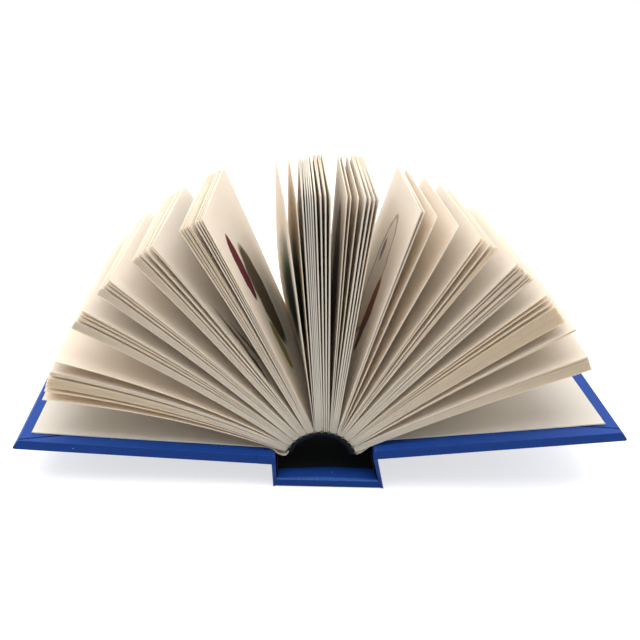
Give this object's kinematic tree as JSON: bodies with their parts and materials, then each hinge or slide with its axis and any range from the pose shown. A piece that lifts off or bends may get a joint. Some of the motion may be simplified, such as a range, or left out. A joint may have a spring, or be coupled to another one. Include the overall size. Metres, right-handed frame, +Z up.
{
  "type": "open book",
  "caption": "Small thick hardback book standing on its spine, wide open, with its leaves fanned out and both cloth covers hinged.",
  "frame": {"origin": "on the ground under the middle of the spine board", "axes": "+X across the opening from the front cover to the back cover, +Y from tail to head along the spine, +Z up"},
  "size_m": [0.1943, 0.06, 0.0968],
  "materials": {
    "book_cloth": "smooth filled book cloth, slight sheen",
    "board": "grey binder's board",
    "paper": "uncoated cream paper",
    "lining": "dark open-weave lining"
  },
  "bodies": {
    "spine": {"spine_board": "board", "spine_cloth": "book_cloth", "spine_lining": "lining", "pages": "paper", "front_hinge_paper": "paper", "back_hinge_paper": "paper"},
    "front_cover": {"front_board": "board", "front_cover_cloth": "book_cloth", "front_pastedown": "paper"},
    "back_cover": {"back_board": "board", "back_cover_cloth": "book_cloth", "back_pastedown": "paper"}
  },
  "joints": [
    {"name": "front_cover_hinge", "type": "hinge", "parent": "spine", "child": "front_cover", "pos_m": [-0.0188, 0, 0.008], "axis": [0, 1, 0], "range_deg": [-80, 7]},
    {"name": "back_cover_hinge", "type": "hinge", "parent": "spine", "child": "back_cover", "pos_m": [0.0152, 0, 0.0109], "axis": [0, -1, 0], "range_deg": [-80, 7]}
  ]
}
